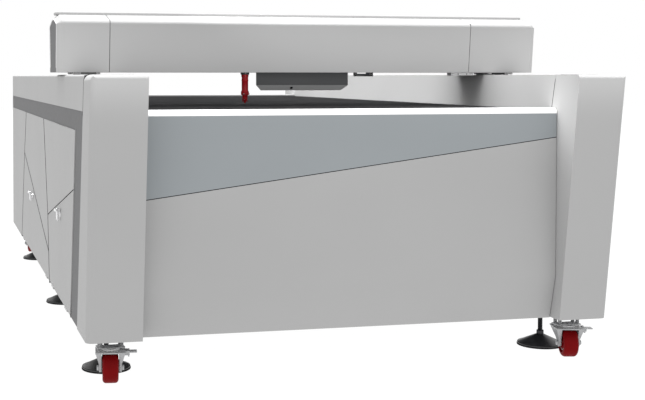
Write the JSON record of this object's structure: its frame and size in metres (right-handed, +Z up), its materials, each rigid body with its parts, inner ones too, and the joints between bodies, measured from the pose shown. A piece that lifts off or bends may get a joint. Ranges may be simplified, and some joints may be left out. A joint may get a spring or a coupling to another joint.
{
  "type": "carbon dioxide laser cutting machine",
  "caption": "Flatbed CO2 laser cutter: slatted bed between cased side walls, sliding gantry with cutting head, service doors, levelling feet, casters",
  "frame": {"origin": "middle of the footprint, on the floor", "axes": "+Z up, +Y from the front panel to the rear panel along the travel of the gantry, +X to the right along the gantry"},
  "size_m": [1.918, 3.4158, 1.25],
  "materials": {
    "light_grey_paint": "satin powder coat",
    "blue_grey_paint": "satin powder coat",
    "dark_grey_paint": "satin powder coat",
    "frame_paint": "matt paint on welded steel tube",
    "bed_steel": "dark steel slats",
    "steel": "machined or zinc-plated steel",
    "black_metal": "black painted metal",
    "belt_rubber": "toothed belt",
    "red_wheel": "moulded polyurethane",
    "red_paint": "red anodised aluminium",
    "button_red": "moulded plastic",
    "tube_glass": "clear glass with a gas fill",
    "chrome": "chromed zinc casting"
  },
  "bodies": {
    "base": {"base_frame": "frame_paint", "side_frames": "frame_paint", "wall_cover_left": "light_grey_paint", "wall_cover_right": "light_grey_paint", "side_panel_left": "light_grey_paint", "side_panel_right": "light_grey_paint", "side_bands": "dark_grey_paint", "tower_front_left": "light_grey_paint", "tower_front_right": "light_grey_paint", "rear_cap_left": "light_grey_paint", "rear_cap_right": "light_grey_paint", "front_panel_upper": "blue_grey_paint", "front_panel_lower": "light_grey_paint", "rear_panel": "light_grey_paint", "slat_bed": "bed_steel", "dust_tray": "frame_paint", "exhaust_ducts": "frame_paint", "y_rails": "steel", "y_belts": "belt_rubber", "y_motors": "black_metal", "laser_power_supply": "frame_paint", "control_unit": "frame_paint", "caster_mounts": "steel", "levelling_feet": "black_metal"},
    "gantry": {"gantry_beam": "frame_paint", "gantry_feet": "black_metal", "gantry_cover_left": "light_grey_paint", "gantry_cover_middle": "light_grey_paint", "gantry_cover_right": "light_grey_paint", "gantry_lid": "light_grey_paint", "gantry_end_plates": "dark_grey_paint", "belly_housing": "dark_grey_paint", "laser_tube": "tube_glass", "mirror_mounts": "steel", "x_rail": "steel", "x_motor": "black_metal", "x_belt": "belt_rubber"},
    "head": {"head_carriage": "steel"},
    "barrel": {"lens_barrel": "red_paint"},
    "y_drive_pulleys": {"y_drive_pulleys": "steel"},
    "y_idlers": {"y_idlers": "steel"},
    "x_drive_pulley": {"x_drive_pulley": "steel"},
    "x_idler": {"x_idler": "steel"},
    "stop_button": {"stop_button": "button_red"},
    "caster_fork_left": {"caster_fork_left": "steel"},
    "caster_fork_right": {"caster_fork_right": "steel"},
    "brake_pedal_left": {"brake_pedal_left": "steel"},
    "brake_pedal_right": {"brake_pedal_right": "steel"},
    "wheel_front_left": {"wheel_front_left": "red_wheel"},
    "wheel_front_right": {"wheel_front_right": "red_wheel"},
    "wheel_rear_left": {"wheel_rear_left": "red_wheel"},
    "wheel_rear_right": {"wheel_rear_right": "red_wheel"},
    "door_front_left": {"door_front_left": "light_grey_paint"},
    "door_front_right": {"door_front_right": "light_grey_paint"},
    "door_rear_left": {"door_rear_left": "light_grey_paint"},
    "door_rear_right": {"door_rear_right": "light_grey_paint"},
    "latch_front_left": {"latch_front_left": "chrome"},
    "latch_front_right": {"latch_front_right": "chrome"},
    "latch_rear_left": {"latch_rear_left": "chrome"},
    "latch_rear_right": {"latch_rear_right": "chrome"}
  },
  "joints": [
    {"name": "gantry_slide", "type": "slide", "parent": "base", "child": "gantry", "axis": [0, 1, 0], "range_m": [-0.374, 2.126]},
    {"name": "head_slide", "type": "slide", "parent": "gantry", "child": "head", "axis": [1, 0, 0], "range_m": [-0.413, 0.887]},
    {"name": "barrel_slide", "type": "slide", "parent": "head", "child": "barrel", "axis": [0, 0, 1], "range_m": [-0.01, 0.01]},
    {"name": "y_drive_turn", "type": "hinge", "parent": "base", "child": "y_drive_pulleys", "pos_m": [0, 1.59, 0.965], "axis": [-1, 0, 0], "range_deg": [-1010, 5725]},
    {"name": "y_idler_turn", "type": "hinge", "parent": "base", "child": "y_idlers", "pos_m": [0, -1.59, 0.965], "axis": [-1, 0, 0], "range_deg": [-1010, 5725]},
    {"name": "x_drive_turn", "type": "hinge", "parent": "gantry", "child": "x_drive_pulley", "pos_m": [0.82, -0.905, 1.189], "axis": [0, 0, 1], "range_deg": [-1785, 3830]},
    {"name": "x_idler_turn", "type": "hinge", "parent": "gantry", "child": "x_idler", "pos_m": [-0.82, -0.905, 1.189], "axis": [0, 0, 1], "range_deg": [-1785, 3830]},
    {"name": "stop_press", "type": "slide", "parent": "base", "child": "stop_button", "axis": [-1, 0, 0], "range_m": [0, 0.004], "stiffness_N_per_m": 500},
    {"name": "caster_swivel_left", "type": "hinge", "parent": "base", "child": "caster_fork_left", "pos_m": [-0.835, -1.48, 0.08], "axis": [0, 0, 1], "continuous": true},
    {"name": "wheel_front_turn_left", "type": "hinge", "parent": "caster_fork_left", "child": "wheel_front_left", "pos_m": [-0.8389, -1.50773, 0.05], "axis": [0.9903, -0.1392, 0], "continuous": true},
    {"name": "brake_tip_left", "type": "hinge", "parent": "caster_fork_left", "child": "brake_pedal_left", "pos_m": [-0.78001, -1.50187, 0.098], "axis": [0.1392, 0.9903, 0], "range_deg": [0, 15]},
    {"name": "wheel_rear_turn_left", "type": "hinge", "parent": "base", "child": "wheel_rear_left", "pos_m": [-0.835, 1.508, 0.05], "axis": [1, 0, 0], "continuous": true},
    {"name": "caster_swivel_right", "type": "hinge", "parent": "base", "child": "caster_fork_right", "pos_m": [0.835, -1.48, 0.08], "axis": [0, 0, 1], "continuous": true},
    {"name": "wheel_front_turn_right", "type": "hinge", "parent": "caster_fork_right", "child": "wheel_front_right", "pos_m": [0.82823, -1.50717, 0.05], "axis": [0.9703, -0.2419, 0], "continuous": true},
    {"name": "brake_tip_right", "type": "hinge", "parent": "caster_fork_right", "child": "brake_pedal_right", "pos_m": [0.8874, -1.5075, 0.098], "axis": [0.2419, 0.9703, 0], "range_deg": [0, 15]},
    {"name": "wheel_rear_turn_right", "type": "hinge", "parent": "base", "child": "wheel_rear_right", "pos_m": [0.835, 1.508, 0.05], "axis": [1, 0, 0], "continuous": true},
    {"name": "door_front_fold_left", "type": "hinge", "parent": "base", "child": "door_front_left", "pos_m": [-0.9285, -0.849, 0.155], "axis": [0, -1, 0], "range_deg": [0, 90]},
    {"name": "latch_front_turn_left", "type": "hinge", "parent": "door_front_left", "child": "latch_front_left", "pos_m": [-0.93, -0.849, 0.48379], "axis": [1, 0, 0], "range_deg": [0, 90]},
    {"name": "door_front_fold_right", "type": "hinge", "parent": "base", "child": "door_front_right", "pos_m": [0.9285, -0.849, 0.155], "axis": [0, 1, 0], "range_deg": [0, 90]},
    {"name": "latch_front_turn_right", "type": "hinge", "parent": "door_front_right", "child": "latch_front_right", "pos_m": [0.93, -0.849, 0.48379], "axis": [1, 0, 0], "range_deg": [0, 90]},
    {"name": "door_rear_fold_left", "type": "hinge", "parent": "base", "child": "door_rear_left", "pos_m": [-0.9285, 0.363, 0.155], "axis": [0, -1, 0], "range_deg": [0, 90]},
    {"name": "latch_rear_turn_left", "type": "hinge", "parent": "door_rear_left", "child": "latch_rear_left", "pos_m": [-0.93, 0.363, 0.4365], "axis": [1, 0, 0], "range_deg": [0, 90]},
    {"name": "door_rear_fold_right", "type": "hinge", "parent": "base", "child": "door_rear_right", "pos_m": [0.9285, 0.363, 0.155], "axis": [0, 1, 0], "range_deg": [0, 90]},
    {"name": "latch_rear_turn_right", "type": "hinge", "parent": "door_rear_right", "child": "latch_rear_right", "pos_m": [0.93, 0.363, 0.4365], "axis": [1, 0, 0], "range_deg": [0, 90]}
  ],
  "couplings": [
    {"joint": "y_drive_turn", "follows": "gantry_slide", "rad_per_m": 46.948},
    {"joint": "y_idler_turn", "follows": "gantry_slide", "rad_per_m": 46.948},
    {"joint": "x_drive_turn", "follows": "head_slide", "rad_per_m": 75.188},
    {"joint": "x_idler_turn", "follows": "head_slide", "rad_per_m": 75.188}
  ]
}
